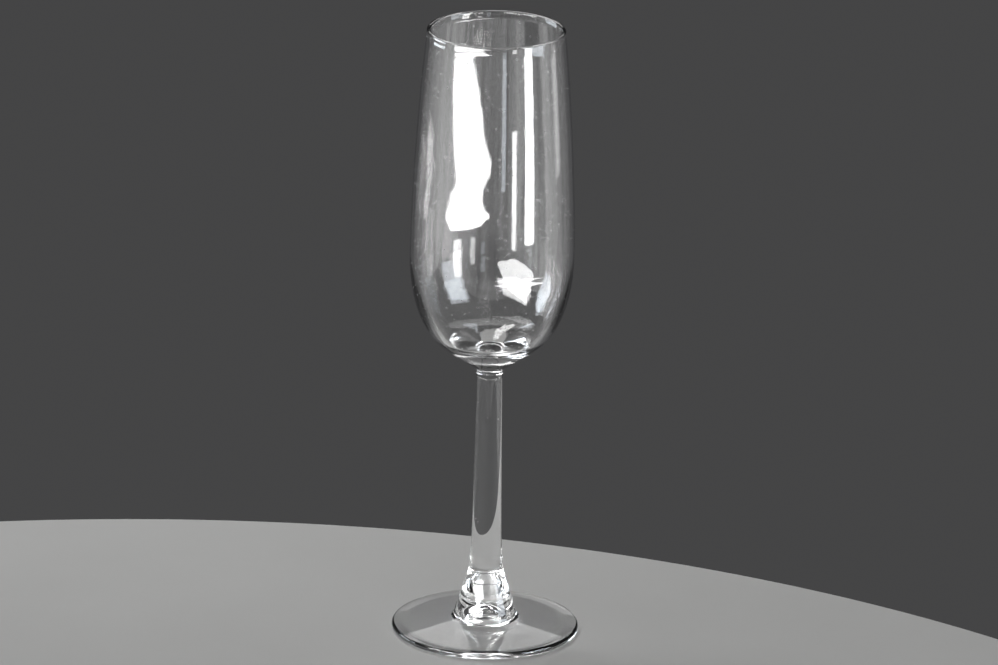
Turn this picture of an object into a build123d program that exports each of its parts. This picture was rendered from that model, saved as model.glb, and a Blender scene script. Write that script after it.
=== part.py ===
"""Champagne flute: three gathers of clear glass, fused hot end to end.

Millimetres, +Z up. The origin is the centre of the ring on which the foot stands.
Every piece is turned about Z from its half section, drawn as radius and height.
A "hold" is how far a curve keeps the direction of its end before it bends away,
as a share of the height of that stretch, so the curve keeps its character.
"""
from build123d import *
from math import cos, radians
import os

# Heights of the three pieces, which stand on each other
foot_height = 18.5
stem_length = 75.3
bowl_height = 126.2

# Bowl: beaded lip, a long side that leans in, a belly, a shoulder and a cone to the neck
rim_diameter = 48.2
belly_diameter = 57.4
belly_rise = 45.2            # height of the belly above the bowl's joint
wall = 1.25
lip_bead = 1.55              # diameter of the fire-polished bead round the mouth
lip_blend = 2.5              # height over which the wall swells into the bead
lip_lean = 6.0               # degrees that the side leans in below the lip
neck_diameter = 9.3
neck_length = 2.95
neck_fillet = 2.2
neck_edge = 0.45             # radius of the rounded edge round the neck's end
cone_angle = 35.0            # degrees above the horizontal
cone_top_diameter = 32.6
floor_thickness = 10.25      # of the glass over the neck, on the axis
floor_edge_width = 1.7       # of the floor's edge beyond the cone's top, along the radius
floor_edge_rise = 5.1        # of that edge above the cone's top
floor_angle = 50.0           # degrees above the horizontal at that edge
side_hold_belly = 0.23
side_hold_lip = 0.35
shoulder_hold_belly = 0.47
shoulder_hold_cone = 0.29
shoulder_hold_floor = 0.22
floor_hold_edge = 1.3
floor_hold_middle = 3.6

# Stem: a slight taper, then a flare down to its collar
waist_diameter = 10.1
flare_length = 31.5
flare_angle = 23.0           # degrees from the vertical at the collar
flare_hold_waist = 0.64
flare_hold_collar = 0.13
collar_diameter = 14.3       # of the bottom of the stem and of the top of the foot
seam_edge = 0.2              # radius of the edges that meet in the groove of each seam

# Foot: a bell-shaped boss that sweeps out into a thin, gently sloping plate
foot_diameter = 66.0
edge_thickness = 2.4
boss_diameter = 21.0         # where the boss ends and its sweep begins
boss_end_height = 7.8
boss_angle = 19.0            # degrees from the vertical at the boss's lower end
boss_hold = 0.3
sweep_width = 1.9            # of the sweep, from the boss to the plate
sweep_hold = 0.5
plate_height = 4.8           # of the plate's top, where the sweep ends

# Underside of the foot: a flat ring, a shallow cone and a dimple pressed up the middle
contact_ring_width = 3.8
underside_rise = 1.8         # from the table to the dimple's mouth
dimple_diameter = 12.4
dimple_height = 7.2          # from its mouth to its top
dimple_angle = 8.0           # degrees from the vertical at its foot
dimple_round = 0.8           # radius of its mouth
dimple_hold_mouth = 0.5
dimple_hold_top = 0.45

# Heights above the table
foot_joint = foot_height
stem_joint = foot_joint + stem_length
overall_height = stem_joint + bowl_height


def toward(point, angle, run):
    """The point that lies a run away, at an angle from the radius axis in degrees."""
    return Vector(point) + Vector(run, 0).rotate(Axis.Z, angle)


def bend(start, start_angle, start_hold, end, end_angle, end_hold):
    """A smooth curve that leaves start at one angle and arrives at end from another."""
    start, end = Vector(start), Vector(end)
    stretch = abs(end.Y - start.Y)
    return Bezier(
        start,
        toward(start, start_angle, start_hold * stretch),
        toward(end, end_angle, end_hold * stretch),
        end,
    )


def turned(outline):
    """The solid that a closed half section makes when it is turned about Z."""
    section = make_face(outline.wires()[0])
    return revolve(Plane.XZ * section, Axis.Z)


def bowl_face(half_wall, half_bead, low_end, low_angle, low_hold):
    """One face of the bowl's wall, from its lip down to the low end of its shoulder.

    Positive halves give the outer face and negative ones the inner face."""
    lip = Vector(rim_diameter / 2 - lip_bead / 2 + half_bead, overall_height - lip_bead / 2)
    below_lip = toward((lip.X - half_bead + half_wall, lip.Y), -90 + lip_lean, lip_blend)
    belly = (belly_diameter / 2 - wall / 2 + half_wall, stem_joint + belly_rise)
    swelling = bend(lip, -90, 0.25, below_lip, 90 + lip_lean, 0.5)
    side = bend(below_lip, -90 + lip_lean, side_hold_lip, belly, 90, side_hold_belly)
    shoulder = bend(belly, -90, shoulder_hold_belly, low_end, low_angle, low_hold)
    return [swelling, side, shoulder]


def bowl():
    """Thin side, beaded lip, and a thick base that ends in a short neck."""
    neck = neck_diameter / 2
    neck_corner = Vector(neck, stem_joint + neck_length)
    neck_end = (neck, stem_joint + neck_edge)
    cone_slant = (cone_top_diameter / 2 - neck) / cos(radians(cone_angle))
    cone_top = toward(neck_corner, cone_angle, cone_slant)
    floor_edge = cone_top + Vector(floor_edge_width, floor_edge_rise)
    middle = (0, neck_corner.Y + floor_thickness)

    outer_face = bowl_face(
        wall / 2, lip_bead / 2, cone_top, cone_angle, shoulder_hold_cone
    )
    inner_face = bowl_face(
        -wall / 2, -lip_bead / 2, floor_edge, floor_angle, shoulder_hold_floor
    )
    crown = (rim_diameter / 2 - lip_bead / 2, overall_height)
    bead = ThreePointArc(outer_face[0] @ 0, crown, inner_face[0] @ 0)
    floor = bend(
        floor_edge, 180 + floor_angle, floor_hold_edge, middle, 0, floor_hold_middle
    )
    cone = FilletPolyline(cone_top, neck_corner, neck_end, radius=neck_fillet)
    edge = JernArc(neck_end, (0, -1), neck_edge, -90)
    core = Polyline(middle, (0, stem_joint), edge @ 1)
    return turned(Curve() + outer_face + inner_face + [bead, floor, cone, edge, core])


def stem():
    """A solid drawn rod, a little wider towards the foot, that ends in a flare."""
    top = neck_diameter / 2 - neck_edge + seam_edge
    neck = (top, stem_joint - seam_edge)
    waist = (waist_diameter / 2, foot_joint + flare_length)
    collar = (collar_diameter / 2, foot_joint + seam_edge)
    taper = Line(neck, waist)
    taper_angle = -90 + Vector(0, -1).get_angle(taper % 1)
    flare = bend(
        waist, taper_angle, flare_hold_waist, collar, 90 + flare_angle, flare_hold_collar
    )
    top_edge = JernArc(neck, (0, 1), seam_edge, 90)
    bottom_edge = JernArc(collar, (0, -1), seam_edge, -90)
    core = Polyline(bottom_edge @ 1, (0, foot_joint), (0, stem_joint), top_edge @ 1)
    return turned(Curve() + [top_edge, taper, flare, bottom_edge, core])


def foot():
    """The boss that takes the stem, the plate round it and the dimpled underside."""
    collar = (collar_diameter / 2, foot_joint - seam_edge)
    boss_end = (boss_diameter / 2, boss_end_height)
    plate_start = (boss_end[0] + sweep_width, plate_height)
    edge_start = (foot_diameter / 2 - edge_thickness / 2, edge_thickness)
    ring_outer = (edge_start[0], 0)
    ring_inner = (edge_start[0] - contact_ring_width, 0)

    top_edge = JernArc(collar, (0, 1), seam_edge, 90)
    boss = bend(
        collar, -90 + flare_angle, boss_hold, boss_end, 90 + boss_angle, boss_hold
    )
    plate_top = Line(plate_start, edge_start)
    plate_angle = 180 - Vector(1, 0).get_angle(plate_top % 0)
    sweep = bend(
        boss_end, -90 + boss_angle, sweep_hold, plate_start, plate_angle, sweep_hold
    )
    edge = ThreePointArc(edge_start, (foot_diameter / 2, edge_thickness / 2), ring_outer)
    ring = Line(ring_outer, ring_inner)
    mouth = (dimple_diameter / 2, underside_rise)
    dimple_foot = toward(mouth, 90 + dimple_angle, 2 * dimple_round)
    dimple_top = (0, underside_rise + dimple_height)
    underside = FilletPolyline(ring_inner, mouth, dimple_foot, radius=dimple_round)
    dimple = bend(
        dimple_foot, 90 + dimple_angle, dimple_hold_mouth, dimple_top, 0, dimple_hold_top
    )
    core = Polyline(dimple_top, (0, foot_joint), top_edge @ 1)
    top = [top_edge, boss, sweep, plate_top, edge]
    return turned(Curve() + top + [ring, underside, dimple, core])


os.makedirs("parts", exist_ok=True)
for name, piece in {"bowl": bowl(), "stem": stem(), "foot": foot()}.items():
    export_step(piece, f"parts/{name}.step")
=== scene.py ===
"""Champagne flute in clear glass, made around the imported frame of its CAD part.

Lengths are in metres, or in millimetres times MM, and the angles of the outlines are in
degrees. A hold is how far a curve keeps the direction of its end before it bends away, as a
share of the height of that stretch. +Z is up, the glass stands on z = 0 and its axis is the
Z axis. The camera looks along +Y, and slightly down.
"""

import bpy
import numpy as np
from mathutils import Matrix, Vector


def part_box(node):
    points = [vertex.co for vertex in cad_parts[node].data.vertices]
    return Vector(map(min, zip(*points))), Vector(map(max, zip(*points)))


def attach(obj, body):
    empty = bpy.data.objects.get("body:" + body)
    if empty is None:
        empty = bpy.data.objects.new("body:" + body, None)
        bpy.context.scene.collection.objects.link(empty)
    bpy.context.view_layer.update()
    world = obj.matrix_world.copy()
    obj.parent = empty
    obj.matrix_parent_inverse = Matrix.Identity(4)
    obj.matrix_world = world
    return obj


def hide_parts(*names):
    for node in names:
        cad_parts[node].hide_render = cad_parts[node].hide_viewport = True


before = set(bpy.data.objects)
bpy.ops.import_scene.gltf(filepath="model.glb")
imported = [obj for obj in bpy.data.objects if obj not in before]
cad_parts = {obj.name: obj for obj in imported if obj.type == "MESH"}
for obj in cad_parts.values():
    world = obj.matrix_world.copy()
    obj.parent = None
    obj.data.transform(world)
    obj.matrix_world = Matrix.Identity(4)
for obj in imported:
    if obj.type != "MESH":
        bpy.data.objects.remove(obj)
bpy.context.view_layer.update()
MM = 0.001
SAME_PLACE = 1e-7    # points nearer to each other than this are one

# ---- Bowl ---------------------------------------------------------------------------
# Clear soda-lime glass, blown in a mould and cracked off. Its lip is melted round in a
# flame, which leaves the small bead, and its neck is fused hot to the top of the stem.
bowl_low, bowl_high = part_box("bowl")
stem_joint = bowl_low.z
overall_height = bowl_high.z
belly_radius = bowl_high.x
belly_height = stem_joint + 45.2 * MM
wall = 1.25 * MM
lip_bead = 1.55 * MM
bead_radius = lip_bead / 2
bead_circle = 24.1 * MM - bead_radius
bead_height = overall_height - bead_radius
lip_blend = 2.5 * MM
lip_lean = 6
lip_hold, lip_blend_hold = 0.25, 0.5
side_hold_lip, side_hold_belly = 0.35, 0.23
shoulder_hold_belly, shoulder_hold_cone, shoulder_hold_floor = 0.47, 0.29, 0.22
neck_radius = 4.65 * MM
neck_height = stem_joint + 2.95 * MM
neck_fillet = 2.2 * MM
neck_edge = 0.45 * MM
cone_angle = 35
cone_top_radius = 16.3 * MM
floor_height = neck_height + 10.25 * MM
floor_edge_width, floor_edge_rise = 1.7 * MM, 5.1 * MM
floor_angle = 50
floor_hold_middle, floor_hold_edge = 3.6, 1.3


def toward(point, angle, run):
    """The point that lies a run away, at an angle in degrees from the radius axis."""
    a = np.radians(angle)
    return np.array(point) + run * np.array([np.cos(a), np.sin(a)])


def bend(start, start_angle, start_hold, end, end_angle, end_hold, count):
    """A cubic curve, as radius and height, that leaves its two ends at given angles.

    B(t) = (1-t)^3 A + 3 (1-t)^2 t P + 3 (1-t) t^2 Q + t^3 E, with t from 0 to 1, where P and
    Q lie off the ends A and E by each end's hold times the height of the stretch."""
    stretch = abs(end[1] - start[1])
    p = toward(start, start_angle, start_hold * stretch)
    q = toward(end, end_angle, end_hold * stretch)
    t = np.linspace(0, 1, count)[:, None]
    ends = (1 - t) ** 3 * np.array(start) + t**3 * np.array(end)
    return ends + 3 * (1 - t) ** 2 * t * p + 3 * (1 - t) * t**2 * q


def arc(centre, radius, start_angle, end_angle, count):
    """Part of a circle, as radius and height: centre + radius (cos a, sin a)."""
    a = np.radians(np.linspace(start_angle, end_angle, count))
    return np.array(centre) + radius * np.stack([np.cos(a), np.sin(a)], 1)


def half_section(*stretches):
    """One outline from stretches laid end to end, with doubled points left out."""
    points = np.concatenate([np.atleast_2d(stretch) for stretch in stretches])
    steps = np.linalg.norm(np.diff(points, axis=0), axis=1)
    return points[np.r_[True, steps > SAME_PLACE]]


def turned(name, outline, seam_heights, around=240):
    """A closed surface of revolution from an outline that starts and ends on the axis.

    Vertex (i, j) is (r_i cos a_j, r_i sin a_j, z_i) with a_j = 2 pi j / around, and each end
    is one pole with a fan of triangles. Flat faces at a seam's height take material slot 1."""
    a = np.arange(around) * 2 * np.pi / around
    radius, height = outline[1:-1, :1], outline[1:-1, 1:]
    rings = np.stack(np.broadcast_arrays(radius * np.cos(a), radius * np.sin(a), height), -1)
    poles = [[0, 0, outline[0, 1]], [0, 0, outline[-1, 1]]]
    points = np.concatenate([rings.reshape(-1, 3), poles])

    i = np.arange(len(radius) - 1)[:, None] * around
    j = np.arange(around)
    k = (j + 1) % around
    quads = np.stack([i + j, i + around + j, i + around + k, i + k], -1).reshape(-1, 4)
    last_ring = (len(radius) - 1) * around
    first_pole = np.full(around, len(points) - 2)
    first_fan = np.stack([first_pole, j, k], -1)
    last_fan = np.stack([first_pole + 1, last_ring + k, last_ring + j], -1)

    mesh = bpy.data.meshes.new(name)
    mesh.from_pydata(points, [], [*quads.tolist(), *first_fan.tolist(), *last_fan.tolist()])
    z = points[:, 2]
    face_z = np.concatenate([z[quads][:, [0, 1, 2]], z[first_fan], z[last_fan]])
    off_seam = np.abs(face_z[:, :, None] - np.array(seam_heights)).max(1).min(1)
    mesh.polygons.foreach_set("material_index", (off_seam < SAME_PLACE).astype(np.int32))
    mesh.polygons.foreach_set("use_smooth", np.ones(len(mesh.polygons), bool))
    mesh.set_sharp_from_angle(angle=np.radians(40))
    piece = bpy.data.objects.new(name, mesh)
    bpy.context.scene.collection.objects.link(piece)
    return piece


def bowl_face(half_wall, half_bead, low_end, low_angle, low_hold):
    """One face of the wall, from the lip's bead down to the low end of its shoulder.

    Positive halves give the outer face and negative ones the inner face."""
    lip = (bead_circle + half_bead, bead_height)
    below_lip = toward((bead_circle + half_wall, bead_height), -90 + lip_lean, lip_blend)
    belly = (belly_radius - wall / 2 + half_wall, belly_height)
    return half_section(
        bend(lip, -90, lip_hold, below_lip, 90 + lip_lean, lip_blend_hold, 14),
        bend(below_lip, -90 + lip_lean, side_hold_lip, belly, 90, side_hold_belly, 70),
        bend(belly, -90, shoulder_hold_belly, low_end, low_angle, low_hold, 50),
    )


def node_group(name, inputs, outputs):
    """An empty shader node group with float inputs and their values, and float outputs."""
    group = bpy.data.node_groups.new(name, "ShaderNodeTree")
    for socket, value in inputs.items():
        group.interface.new_socket(
            name=socket, in_out="INPUT", socket_type="NodeSocketFloat"
        ).default_value = value
    for socket in outputs:
        group.interface.new_socket(name=socket, in_out="OUTPUT", socket_type="NodeSocketFloat")
    return group, group.nodes.new("NodeGroupInput"), group.nodes.new("NodeGroupOutput")


def place(tree, kind, settings=None, **sockets):
    """One node, with its settings, and with its sockets given a value or a link."""
    node = tree.nodes.new(kind)
    for setting, value in (settings or {}).items():
        setattr(node, setting, value)
    for socket, value in sockets.items():
        target = node.inputs[int(socket[1:]) if socket[1:].isdigit() else socket.replace("_", " ")]
        if isinstance(value, bpy.types.NodeSocket):
            tree.links.new(value, target)
        else:
            target.default_value = value
    return node


def maths(tree, operation, first, second):
    """A Math node's result."""
    return place(tree, "ShaderNodeMath", {"operation": operation}, _0=first, _1=second).outputs[0]


# Draw lines: the faint upright ripple that drawing and turning leave in hot glass. It is
# noise on a space that is stretched along the axis: fine across it and slow along it.
draw_lines, given, result = node_group("draw_lines", {"Across": 300, "Along": 6}, ["Height"])
object_place = place(draw_lines, "ShaderNodeTexCoord").outputs["Object"]
across, lengthwise = given.outputs["Across"], given.outputs["Along"]
stretch = place(draw_lines, "ShaderNodeCombineXYZ", X=across, Y=across, Z=lengthwise)
stretched = place(
    draw_lines, "ShaderNodeVectorMath", {"operation": "MULTIPLY"},
    _0=object_place, _1=stretch.outputs[0],
)
ripple = place(
    draw_lines, "ShaderNodeTexNoise", Vector=stretched.outputs[0], Scale=1, Detail=3, Roughness=0.6
)
draw_lines.links.new(ripple.outputs["Fac"], result.inputs["Height"])

# Dust: a few specks, each a little ball round the middle of a cell. The speck's size is a
# share of its cell.
dust, given, result = node_group("dust", {"Cells per Metre": 300, "Speck Size": 0.05}, ["Specks"])
object_place = place(dust, "ShaderNodeTexCoord").outputs["Object"]
cells = place(
    dust, "ShaderNodeTexVoronoi", Vector=object_place, Scale=given.outputs["Cells per Metre"]
)
specks = maths(dust, "LESS_THAN", cells.outputs["Distance"], given.outputs["Speck Size"])
dust.links.new(specks, result.inputs["Specks"])

# Fingerprint: a smudged patch with a trace of its ridges, which fades out round one place.
print_inputs = {"X": 0, "Y": 0, "Z": 0, "Radius": 6 * MM}
fingerprint, given, result = node_group("fingerprint", print_inputs, ["Film"])
object_place = place(fingerprint, "ShaderNodeTexCoord").outputs["Object"]
axes = {axis: given.outputs[axis] for axis in "XYZ"}
middle = place(fingerprint, "ShaderNodeCombineXYZ", **axes).outputs[0]
offset = place(
    fingerprint, "ShaderNodeVectorMath", {"operation": "SUBTRACT"}, _0=object_place, _1=middle
).outputs[0]
distance = place(fingerprint, "ShaderNodeVectorMath", {"operation": "LENGTH"}, _0=offset)
share = maths(fingerprint, "DIVIDE", distance.outputs["Value"], given.outputs["Radius"])
fade = place(
    fingerprint, "ShaderNodeMapRange", {"interpolation_type": "SMOOTHSTEP"},
    Value=share, From_Min=0.5, From_Max=1, To_Min=1, To_Max=0,
)
ridges = place(
    fingerprint, "ShaderNodeTexWave", {"wave_type": "RINGS", "rings_direction": "SPHERICAL"},
    Vector=offset, Scale=420, Distortion=9, Detail=2,
)
grain = place(fingerprint, "ShaderNodeTexNoise", Vector=offset, Scale=900, Detail=3)
patches = place(
    fingerprint, "ShaderNodeMapRange", {"interpolation_type": "SMOOTHSTEP"},
    Value=grain.outputs["Fac"], From_Min=0.42, From_Max=0.62,
)
trace = maths(fingerprint, "MULTIPLY", ridges.outputs["Fac"], 0.4)
film = maths(fingerprint, "ADD", trace, patches.outputs["Result"])
film = maths(fingerprint, "MULTIPLY", film, fade.outputs["Result"])
fingerprint.links.new(film, result.inputs["Film"])

GLASS_IOR = 1.52
DUST_ROUGHNESS = 0.8
GREASE_ROUGHNESS = 0.14


def clear_glass(name, across, lengthwise, ripple_depth, speck_size, touched=None):
    """Clear soda-lime glass with draw lines and dust, and a fingerprint where it was touched.

    Across and lengthwise are the draw lines' pitches, in ripples per metre."""
    material = bpy.data.materials.new(name)
    material.use_nodes = True
    tree = material.node_tree
    shader = tree.nodes["Principled BSDF"]
    shader.inputs["Base Color"].default_value = (1, 1, 1, 1)
    shader.inputs["IOR"].default_value = GLASS_IOR
    shader.inputs["Transmission Weight"].default_value = 1
    lines = place(
        tree, "ShaderNodeGroup", {"node_tree": draw_lines}, Across=across, Along=lengthwise
    )
    bump = place(
        tree, "ShaderNodeBump", Strength=1, Distance=ripple_depth, Height=lines.outputs["Height"]
    )
    tree.links.new(bump.outputs["Normal"], shader.inputs["Normal"])
    specks = place(tree, "ShaderNodeGroup", {"node_tree": dust}, Speck_Size=speck_size)
    haze = maths(tree, "MULTIPLY", specks.outputs["Specks"], DUST_ROUGHNESS)
    if touched:
        x, y, z = touched
        touch = place(tree, "ShaderNodeGroup", {"node_tree": fingerprint}, X=x, Y=y, Z=z)
        greasy = maths(tree, "MULTIPLY", touch.outputs["Film"], GREASE_ROUGHNESS)
        haze = maths(tree, "MAXIMUM", haze, greasy)
    tree.links.new(haze, shader.inputs["Roughness"])
    return material


cone_rise = np.radians(cone_angle)
cone_slant = (cone_top_radius - neck_radius) / np.cos(cone_rise)
cone_top = toward((neck_radius, neck_height), cone_angle, cone_slant)
floor_edge = cone_top + np.array([floor_edge_width, floor_edge_rise])
fillet_reach = neck_fillet * np.tan((np.pi / 2 - cone_rise) / 2)
fillet_centre = (neck_radius + neck_fillet, neck_height - fillet_reach)
seam_radius = neck_radius - neck_edge
bowl_outline = half_section(
    bend(
        (0, floor_height), 0, floor_hold_middle,
        floor_edge, 180 + floor_angle, floor_hold_edge, 40,
    ),
    bowl_face(-wall / 2, -bead_radius, floor_edge, floor_angle, shoulder_hold_floor)[::-1],
    arc((bead_circle, bead_height), bead_radius, 180, 0, 20),
    bowl_face(wall / 2, bead_radius, cone_top, cone_angle, shoulder_hold_cone),
    arc(fillet_centre, neck_fillet, 90 + cone_angle, 180, 14),
    arc((seam_radius, stem_joint + neck_edge), neck_edge, 0, -90, 10),
    (0, stem_joint),
)
bowl = turned("bowl_glass", bowl_outline, [stem_joint])
touched_lip = (-3 * MM, 22.7 * MM, 210 * MM)
bowl.data.materials.append(clear_glass("bowl_glass", 700, 1.5, 0.016 * MM, 0.06, touched_lip))
# The faces of a fused joint can't be seen, because the glass runs through it.
fused = bpy.data.materials.new("fused_joint")
fused.use_nodes = True
fused.node_tree.nodes["Principled BSDF"].inputs["Alpha"].default_value = 0
bowl.data.materials.append(fused)
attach(bowl, "root")
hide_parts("bowl")

# ---- Stem ---------------------------------------------------------------------------
# A solid rod drawn out of hot glass. It tapers a little upwards, and flares at its lower
# end to the collar. The two ends are fused to the bowl and the foot, with a fine seam.


def slope(start, end):
    """The angle in degrees at which a line runs from start to end, from the radius axis."""
    return np.degrees(np.arctan2(end[1] - start[1], end[0] - start[0]))


stem_low, stem_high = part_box("stem")
foot_joint = stem_low.z
collar_radius = stem_high.x
waist_radius = 5.05 * MM
waist_height = foot_joint + 31.5 * MM
flare_angle = 23
flare_hold_waist, flare_hold_collar = 0.64, 0.13
seam_edge = 0.2 * MM
rod_top = (seam_radius + seam_edge, stem_joint - seam_edge)
waist = (waist_radius, waist_height)
collar = (collar_radius, foot_joint + seam_edge)
taper_angle = slope(rod_top, waist)
stem_outline = half_section(
    (0, stem_joint),
    arc((seam_radius, rod_top[1]), seam_edge, 90, 0, 8),
    np.linspace(rod_top, waist, 24),
    bend(waist, taper_angle, flare_hold_waist, collar, 90 + flare_angle, flare_hold_collar, 60),
    arc((collar_radius - seam_edge, collar[1]), seam_edge, 0, -90, 8),
    (0, foot_joint),
)
stem = turned("stem_glass", stem_outline, [stem_joint, foot_joint])
stem.data.materials.append(clear_glass("stem_glass", 500, 8, 0.003 * MM, 0.05))
stem.data.materials.append(fused)
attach(stem, "root")
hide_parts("stem")

# ---- Foot ---------------------------------------------------------------------------
# Pressed glass: a bell-shaped boss that sweeps out into a thin plate with a melted edge.
# It stands on a flat ring, and the press leaves a dimple up the middle of its underside.
foot_low, foot_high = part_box("foot")
foot_radius = foot_high.x
edge_thickness = 2.4 * MM
edge_radius = foot_radius - edge_thickness / 2
plate_height = 4.8 * MM
boss_end = (10.5 * MM, 7.8 * MM)
boss_angle = 19
boss_hold = 0.3
plate_start = (boss_end[0] + 1.9 * MM, plate_height)
sweep_hold = 0.5
ring_inner = edge_radius - 3.8 * MM
dimple_radius = 6.2 * MM
dimple_angle = 8
dimple_round = 0.8 * MM
dimple_hold_mouth, dimple_hold_top = 0.5, 0.45
underside_rise = 1.8 * MM
dimple_top = underside_rise + 7.2 * MM
edge_start = (edge_radius, edge_thickness)
plate_angle = slope(plate_start, edge_start)
mouth = (dimple_radius, underside_rise)
underside_angle = -slope(mouth, (ring_inner, 0))
mouth_turn = 90 - dimple_angle - underside_angle
mouth_reach = dimple_round * np.tan(np.radians(mouth_turn / 2))
mouth_start = toward(mouth, -underside_angle, mouth_reach)
mouth_centre = toward(mouth_start, 90 - underside_angle, dimple_round)
dimple_foot = toward(mouth, 90 + dimple_angle, 2 * dimple_round)
top_seam = (collar_radius - seam_edge, foot_joint - seam_edge)
boss_start = (collar_radius, top_seam[1])
foot_outline = half_section(
    (0, foot_joint),
    arc(top_seam, seam_edge, 90, 0, 8),
    bend(boss_start, -90 + flare_angle, boss_hold, boss_end, 90 + boss_angle, boss_hold, 40),
    bend(
        boss_end, -90 + boss_angle, sweep_hold,
        plate_start, 180 + plate_angle, sweep_hold, 30,
    ),
    np.linspace(plate_start, edge_start, 24),
    arc((edge_radius, edge_thickness / 2), edge_thickness / 2, 90, -90, 24),
    np.linspace((edge_radius, 0), (ring_inner, 0), 4),
    np.linspace((ring_inner, 0), mouth_start, 24),
    arc(mouth_centre, dimple_round, -90 - underside_angle, -180 + dimple_angle, 10),
    bend(
        dimple_foot, 90 + dimple_angle, dimple_hold_mouth,
        (0, dimple_top), 0, dimple_hold_top, 40,
    ),
)
foot = turned("foot_glass", foot_outline, [foot_joint])
foot.data.materials.append(clear_glass("foot_glass", 150, 150, 0.015 * MM, 0.05))
foot.data.materials.append(fused)
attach(foot, "root")
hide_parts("foot")

# ---- Table --------------------------------------------------------------------------
# A plain pale half-round table top, painted matt. Its round edge is behind the glass and its
# straight edge in front, with the two corners between them cut off. Light can come up to the
# bowl from below the straight edge.
table_radius = 0.44
table_back, table_front = 0.108, -0.26
table_centre = (-0.106, table_back - table_radius)
front_half_width = 0.346
corner_angle = np.radians(27.7)
table_thickness = 0.018
table_top = -0.05 * MM    # a hair below the foot, so that the two don't share a plane
sweep = np.linspace(corner_angle, np.pi - corner_angle, 124)
rim = np.array(table_centre) + table_radius * np.stack([np.cos(sweep), np.sin(sweep)], 1)
front_ends = [[table_centre[0] + x, table_front] for x in (-front_half_width, front_half_width)]
rim = np.concatenate([rim, front_ends])
table_faces = (table_top, table_top - table_thickness)
layers = np.concatenate([np.insert(rim, 2, z, axis=1) for z in table_faces])
count = len(rim)
near = np.arange(count)
far = (near + 1) % count
sides = np.stack([near, near + count, far + count, far], -1)
table_mesh = bpy.data.meshes.new("table_top")
table_mesh.from_pydata(layers, [], [near, near[::-1] + count, *sides.tolist()])
table = bpy.data.objects.new("table_top", table_mesh)
bpy.context.scene.collection.objects.link(table)
bevel = table.modifiers.new("rounded_edge", "BEVEL")
bevel.width = 3 * MM
bevel.segments = 4
paint = bpy.data.materials.new("matt_paint")
paint.use_nodes = True
paint_shader = paint.node_tree.nodes["Principled BSDF"]
paint_shader.inputs["Roughness"].default_value = 0.8
paint_place = place(paint.node_tree, "ShaderNodeTexCoord").outputs["Object"]
mottle = place(paint.node_tree, "ShaderNodeTexNoise", Vector=paint_place, Scale=9, Detail=4)
shade = place(paint.node_tree, "ShaderNodeValToRGB", Fac=mottle.outputs["Fac"])
shade.color_ramp.elements[0].color = (0.57, 0.57, 0.56, 1)
shade.color_ramp.elements[1].color = (0.66, 0.66, 0.65, 1)
grain = place(paint.node_tree, "ShaderNodeTexNoise", Vector=paint_place, Scale=1400, Detail=2)
texture = place(
    paint.node_tree, "ShaderNodeBump", Strength=0.4, Distance=0.1 * MM, Height=grain.outputs["Fac"]
)
paint.node_tree.links.new(shade.outputs["Color"], paint_shader.inputs["Base Color"])
paint.node_tree.links.new(texture.outputs["Normal"], paint_shader.inputs["Normal"])
table_mesh.materials.append(paint)

# ---- Light --------------------------------------------------------------------------
# A dim grey room with soft windows on both sides in front of the glass and one high up
# behind it, a white card low down on the right, past the table's straight edge, and a soft
# light overhead.
world = bpy.data.worlds.new("studio")
bpy.context.scene.world = world
world.use_nodes = True
room = world.node_tree
direction = place(room, "ShaderNodeTexCoord").outputs["Generated"]
split = place(room, "ShaderNodeSeparateXYZ", _0=direction)
# The walls are brightest beside and in front of the glass, and dark behind it. They are
# brighter low down, and have upright folds like a curtain's.
front_to_back = place(room, "ShaderNodeMapRange", Value=split.outputs["Y"], From_Min=-1)
walls = place(room, "ShaderNodeValToRGB", Fac=front_to_back.outputs["Result"])
walls.color_ramp.interpolation = "EASE"
walls.color_ramp.elements[0].color = (0.2, 0.2, 0.2, 1)
walls.color_ramp.elements[1].color = (0, 0, 0, 1)
for position, level in ((0.09, 0.55), (0.33, 0.95), (0.67, 0.36), (0.79, 0.09), (0.9, 0.02)):
    walls.color_ramp.elements.new(position).color = (level, level, level, 1)
low_to_high = place(
    room, "ShaderNodeMapRange", {"interpolation_type": "SMOOTHSTEP"},
    Value=split.outputs["Z"], From_Min=-0.45, From_Max=0.1, To_Min=2.4, To_Max=0.3,
)
stretched_room = place(
    room, "ShaderNodeVectorMath", {"operation": "MULTIPLY"}, _0=direction, _1=(9, 9, 1.2)
)
folds = place(
    room, "ShaderNodeTexNoise", Vector=stretched_room.outputs[0], Scale=1, Detail=3
)
depth_of_folds = place(
    room, "ShaderNodeMapRange", Value=folds.outputs["Fac"],
    From_Min=0.3, From_Max=0.7, To_Min=0.35, To_Max=1.65,
)
folded = maths(room, "MULTIPLY", low_to_high.outputs["Result"], depth_of_folds.outputs["Result"])
glow_of_room = place(
    room, "ShaderNodeVectorMath", {"operation": "MULTIPLY_ADD"},
    _0=walls.outputs["Color"], _1=folded, _2=(0.05, 0.05, 0.052),
)
# Straight on, and through the glass, the room is one plain grey backdrop on every side. Its
# walls are only seen as reflections, and as light that falls on the table.
backdrop = (0.059, 0.059, 0.06, 1)
path = place(room, "ShaderNodeLightPath")
bounced = maths(room, "ADD", path.outputs["Glossy Depth"], path.outputs["Diffuse Depth"])
seen = place(
    room, "ShaderNodeMix", {"data_type": "RGBA"},
    _0=maths(room, "MINIMUM", bounced, 1), _6=backdrop, _7=glow_of_room.outputs["Vector"],
)
background = room.nodes["Background"]
room.links.new(seen.outputs[2], background.inputs["Color"])
background.inputs["Strength"].default_value = 0.5


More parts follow.
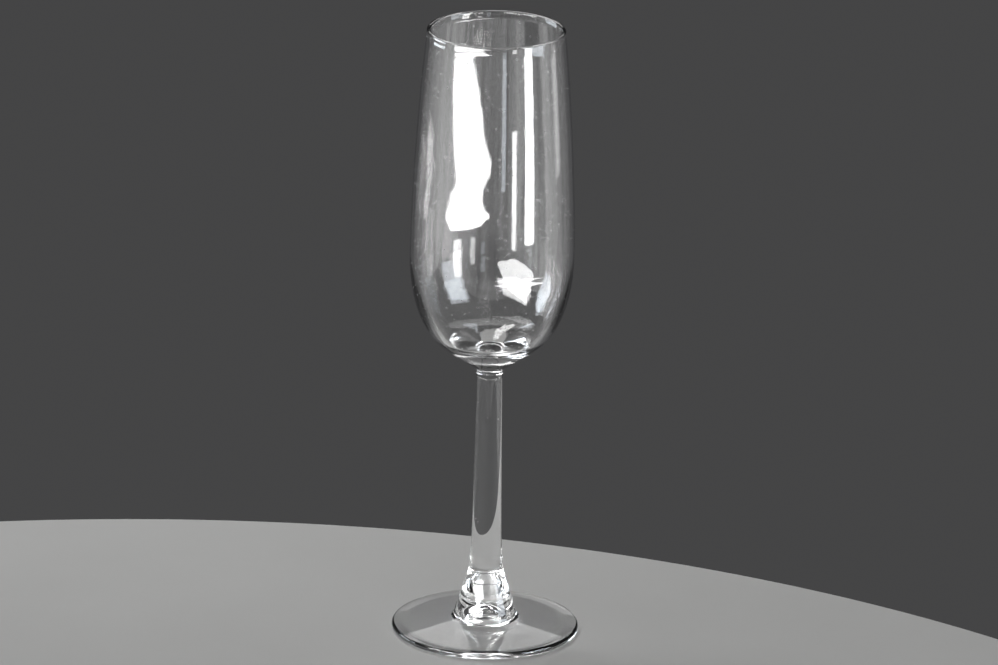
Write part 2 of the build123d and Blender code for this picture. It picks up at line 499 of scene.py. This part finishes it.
def glowing_panel(name, azimuth, reach, corners, brightness, colour=(1, 1, 1), faces=None):
    """A flat glowing panel that stands upright and faces the glass from a reach away.

    A corner is (along, height): along runs to the right as the glass sees the panel, which
    is one face unless its faces are given. Azimuth 0 is the camera's side, and positive
    azimuths go round to the right. The panel is only seen in reflections."""
    a = np.radians(azimuth)
    out = np.array([np.sin(a), -np.cos(a), 0])
    side = np.array([np.cos(a), np.sin(a), 0])
    along, height = np.array(corners).T
    points = reach * out + along[:, None] * side + height[:, None] * np.array([0, 0, 1])
    mesh = bpy.data.meshes.new(name)
    mesh.from_pydata(points, [], faces or [range(len(points))])
    glow = bpy.data.materials.new(name)
    glow.use_nodes = True
    shader = glow.node_tree.nodes["Principled BSDF"]
    shader.inputs["Base Color"].default_value = (0, 0, 0, 1)
    shader.inputs["Specular IOR Level"].default_value = 0
    shader.inputs["Emission Color"].default_value = (*colour, 1)
    shader.inputs["Emission Strength"].default_value = brightness
    path = place(glow.node_tree, "ShaderNodeLightPath")
    reflected = maths(glow.node_tree, "MINIMUM", path.outputs["Glossy Depth"], 1)
    glow.node_tree.links.new(reflected, shader.inputs["Alpha"])
    mesh.materials.append(glow)
    panel = bpy.data.objects.new(name, mesh)
    panel.visible_camera = False
    panel.visible_diffuse = False
    bpy.context.scene.collection.objects.link(panel)


def upright(left, right, low, high):
    """The four corners of an upright rectangle."""
    return [(left, low), (right, low), (right, high), (left, high)]


sky = (0.86, 0.93, 1.0)
# The card is a crescent: its lower edge sags by the square of the way along, and its width
# grows from nothing at its two tips.
card_left, card_right, card_width, card_strips = -0.57, 0.62, 0.035, 40
along = np.linspace(card_left, card_right, card_strips + 1)
lower_edge = -0.189 - 0.175 * along**2
share = (along - card_left) / (card_right - card_left)
upper_edge = lower_edge + card_width * np.sin(np.pi * share)
card_corners = [*zip(along, lower_edge), *zip(along, upper_edge)]
strip = np.arange(card_strips)
card_faces = np.stack([strip, strip + 1, strip + card_strips + 2, strip + card_strips + 1], 1)
left_window = [(0.62, 0.28), (0.08, 0.17), (-0.62, 0.26), (-0.8, 0.86), (0.3, 0.68)]
right_window = [(-0.34, 0.15), (0.25, 0.08), (0.34, 0.57), (-0.4, 0.95)]
glowing_panel("low_card", 40, 0.8, card_corners, 12, faces=card_faces.tolist())
glowing_panel("left_window", -40, 1.0, left_window, 10)
glowing_panel("right_window", 70, 1.0, right_window, 4, sky)
glowing_panel("far_left_window", -108, 1.0, upright(-0.28, 0.25, 0.1, 0.4), 5, sky)
glowing_panel("narrow_window", 30, 1.05, upright(-0.06, 0.06, -0.13, 0.03), 6)
glowing_panel("curtain_gap", 53, 1.1, upright(-0.12, 0.14, -0.14, 0.13), 10)
glowing_panel("door_gap", 14, 1.1, upright(-0.05, 0.05, -0.05, 0.14), 2, sky)
glowing_panel("high_back_window", 180, 1.2, upright(-0.6, 0.6, 0.62, 1.1), 0.8)
glowing_panel("side_gap", 106, 1.1, upright(-0.1, 0.1, -0.09, 0.04), 1.2)

soft_light = bpy.data.lights.new("soft_overhead_light", "AREA")
soft_light.shape = "SQUARE"
soft_light.size = 0.8
soft_light.energy = 4
overhead = bpy.data.objects.new("soft_overhead_light", soft_light)
overhead.location = (-0.45, 0.75, 1.05)
overhead.rotation_euler = (-Vector(overhead.location)).to_track_quat("-Z", "Y").to_euler()
overhead.visible_camera = False
bpy.context.scene.collection.objects.link(overhead)

# ---- Camera -------------------------------------------------------------------------
# A long lens, a good way off and above the lip, turned very slightly about its own axis.
camera_reach = 2.6
pitch, roll = np.radians(18.4), np.radians(1.15)
aim = Vector((0.00295, 0, 0.10985))
forward = Vector((0, np.cos(pitch), -np.sin(pitch)))
right = Vector((1, 0, 0))
up = right.cross(forward)
rolled_right = right * np.cos(roll) + up * np.sin(roll)
rolled_up = up * np.cos(roll) - right * np.sin(roll)
camera_data = bpy.data.cameras.new("camera")
camera_data.lens = 268.7
camera_data.sensor_width = 36
camera_data.clip_end = 20
camera = bpy.data.objects.new("camera", camera_data)
bpy.context.scene.collection.objects.link(camera)
turn = Matrix((rolled_right, rolled_up, -forward)).transposed().to_4x4()
camera.matrix_world = Matrix.Translation(aim - forward * camera_reach) @ turn
bpy.context.scene.camera = camera
bpy.context.scene.view_settings.view_transform = "Standard"
bpy.context.scene.view_settings.exposure = 1
# Light runs along inside the foot's plate for many bounces before it comes out at the edge.
bpy.context.scene.cycles.max_bounces = 48
bpy.context.scene.cycles.transmission_bounces = 48
